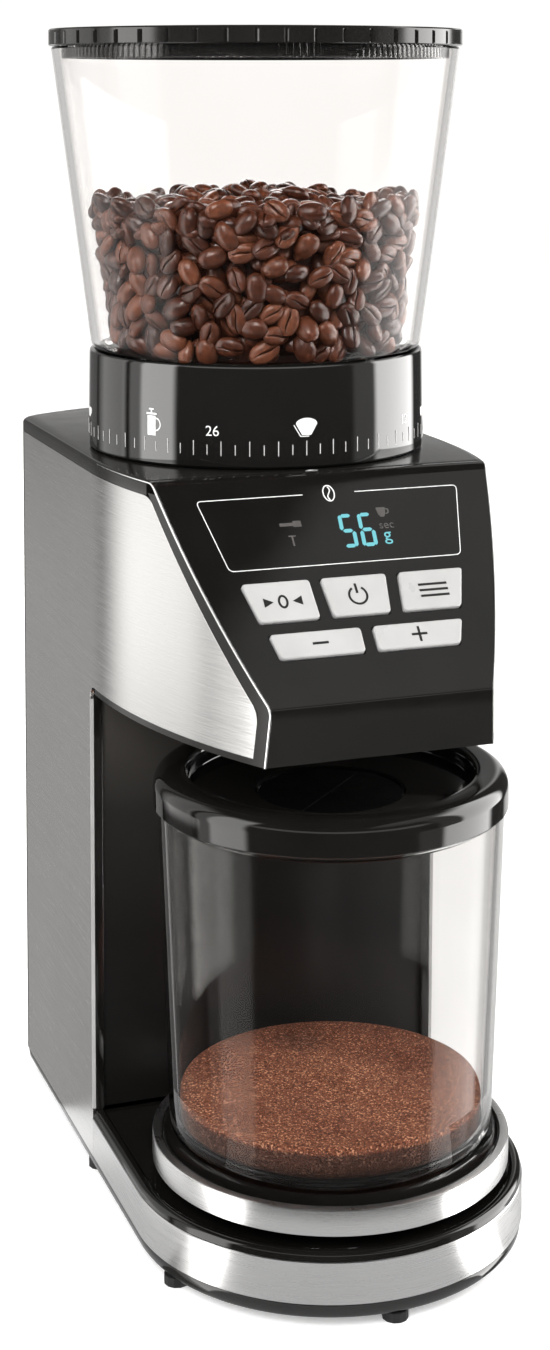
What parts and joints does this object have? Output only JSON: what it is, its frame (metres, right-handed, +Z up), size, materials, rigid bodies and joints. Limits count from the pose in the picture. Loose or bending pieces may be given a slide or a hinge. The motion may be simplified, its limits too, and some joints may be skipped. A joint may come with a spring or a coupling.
{
  "type": "burr coffee grinder",
  "caption": "Upright coffee grinder with a clear bean hopper, a turning grind dial, a sloped control panel and a clear container on a round scale platform.",
  "frame": {"origin": "on the surface the grinder stands on, at the middle of its footprint", "axes": "+Z up, front and control panel facing -Y, +X to the right seen from the front"},
  "size_m": [0.145, 0.244, 0.4],
  "materials": {
    "matt_black": "satin black moulding",
    "gloss_black": "polished black moulding",
    "brushed_steel": "brushed stainless sheet",
    "bright_trim": "bright plated line",
    "silver_button": "satin silver lacquer",
    "clear_hopper": "clear moulded plastic",
    "clear_container": "clear moulded plastic",
    "roasted_beans": "roasted coffee beans, slightly oily",
    "ground_coffee": "ground coffee",
    "rubber": "black rubber",
    "machined_steel": "machined steel",
    "bronze": "sintered bronze",
    "aluminium": "machined aluminium",
    "white_plastic": "unpigmented engineering plastic",
    "circuit_board": "green circuit board",
    "white_print": "printed white marks",
    "dark_print": "printed black marks",
    "display_cyan": "lit display segments"
  },
  "bodies": {
    "housing": {"base_tray": "matt_black", "back_cover": "matt_black", "head_underside": "matt_black", "gearbox_housing": "matt_black", "gearbox_lid": "matt_black", "burr_chamber": "matt_black", "grounds_chute": "matt_black", "hopper_collar": "matt_black", "base_deck": "gloss_black", "neck_front_wall": "gloss_black", "top_cover": "gloss_black", "control_fascia": "gloss_black", "head_edging_left": "gloss_black", "head_edging_right": "gloss_black", "steel_base_band": "brushed_steel", "side_panel_left": "brushed_steel", "side_panel_right": "brushed_steel", "fascia_trim_left": "bright_trim", "fascia_trim_right": "bright_trim", "foot_front": "rubber", "foot_front_left": "rubber", "foot_front_right": "rubber", "foot_middle_left": "rubber", "foot_middle_right": "rubber", "foot_back_left": "rubber", "foot_back_right": "rubber", "cord_gland": "rubber", "tray_screw_1": "machined_steel", "tray_screw_2": "machined_steel", "tray_screw_3": "machined_steel", "tray_screw_4": "machined_steel", "motor": "machined_steel", "spindle_bush_lower": "bronze", "spindle_bush_upper": "bronze", "load_cell": "aluminium", "control_board": "circuit_board", "main_board": "circuit_board"},
    "hopper": {"hopper": "clear_hopper", "bean_fill": "roasted_beans"},
    "lid": {"lid": "matt_black"},
    "grind_dial": {"grind_dial": "gloss_black"},
    "burr_carrier": {"burr_carrier": "white_plastic", "ring_burr": "machined_steel"},
    "burr_spindle": {"burr_spindle": "machined_steel", "drive_gear": "white_plastic", "cone_burr": "machined_steel", "impeller": "white_plastic"},
    "motor_rotor": {"motor_pinion": "bronze"},
    "platform": {"platform_ring": "brushed_steel", "platform_pan": "gloss_black", "platform_post": "aluminium"},
    "container": {"container": "clear_container", "coffee_grounds": "ground_coffee"},
    "container_cap": {"container_cap": "gloss_black"},
    "button_tare": {"button_tare": "silver_button"},
    "button_power": {"button_power": "silver_button"},
    "button_select": {"button_select": "silver_button"},
    "button_minus": {"button_minus": "silver_button"},
    "button_plus": {"button_plus": "silver_button"}
  },
  "joints": [
    {"name": "hopper_twist", "type": "hinge", "parent": "housing", "child": "hopper", "pos_m": [0, 0.0135, 0.285], "axis": [0, 0, 1], "range_deg": [0, 40]},
    {"name": "lid_lift", "type": "slide", "parent": "hopper", "child": "lid", "axis": [0, 0, 1], "range_m": [0, 0.06]},
    {"name": "dial_turn", "type": "hinge", "parent": "housing", "child": "grind_dial", "pos_m": [0, 0.0135, 0.27], "axis": [0, 0, 1], "range_deg": [-83, 92]},
    {"name": "burr_travel", "type": "slide", "parent": "housing", "child": "burr_carrier", "axis": [0, 0, 1], "range_m": [-0.0004, 0.0004]},
    {"name": "burr_spin", "type": "hinge", "parent": "housing", "child": "burr_spindle", "pos_m": [0, 0.0135, 0.21], "axis": [0, 0, 1], "continuous": true},
    {"name": "motor_spin", "type": "hinge", "parent": "housing", "child": "motor_rotor", "pos_m": [0, 0.062, 0.18], "axis": [0, 0, 1], "continuous": true},
    {"name": "platform_press", "type": "slide", "parent": "housing", "child": "platform", "axis": [0, 0, -1], "range_m": [0, 0.0005], "stiffness_N_per_m": 30000, "springref_m": -0.0005},
    {"name": "container_slide", "type": "slide", "parent": "platform", "child": "container", "axis": [0, -1, 0], "range_m": [0, 0.15]},
    {"name": "container_cap_lift", "type": "slide", "parent": "container", "child": "container_cap", "axis": [0, 0, 1], "range_m": [0, 0.014]},
    {"name": "tare_press", "type": "slide", "parent": "housing", "child": "button_tare", "axis": [0, 0.7617, -0.648], "range_m": [0, 0.0008], "stiffness_N_per_m": 1500, "springref_m": -0.0005},
    {"name": "power_press", "type": "slide", "parent": "housing", "child": "button_power", "axis": [0, 0.7617, -0.648], "range_m": [0, 0.0008], "stiffness_N_per_m": 1500, "springref_m": -0.0005},
    {"name": "select_press", "type": "slide", "parent": "housing", "child": "button_select", "axis": [0, 0.7617, -0.648], "range_m": [0, 0.0008], "stiffness_N_per_m": 1500, "springref_m": -0.0005},
    {"name": "minus_press", "type": "slide", "parent": "housing", "child": "button_minus", "axis": [0, 0.7617, -0.648], "range_m": [0, 0.0008], "stiffness_N_per_m": 1500, "springref_m": -0.0005},
    {"name": "plus_press", "type": "slide", "parent": "housing", "child": "button_plus", "axis": [0, 0.7617, -0.648], "range_m": [0, 0.0008], "stiffness_N_per_m": 1500, "springref_m": -0.0005}
  ],
  "couplings": [
    {"joint": "burr_travel", "follows": "dial_turn", "m_per_rad": 0.00023873},
    {"joint": "motor_spin", "follows": "burr_spin", "ratio": -4}
  ]
}
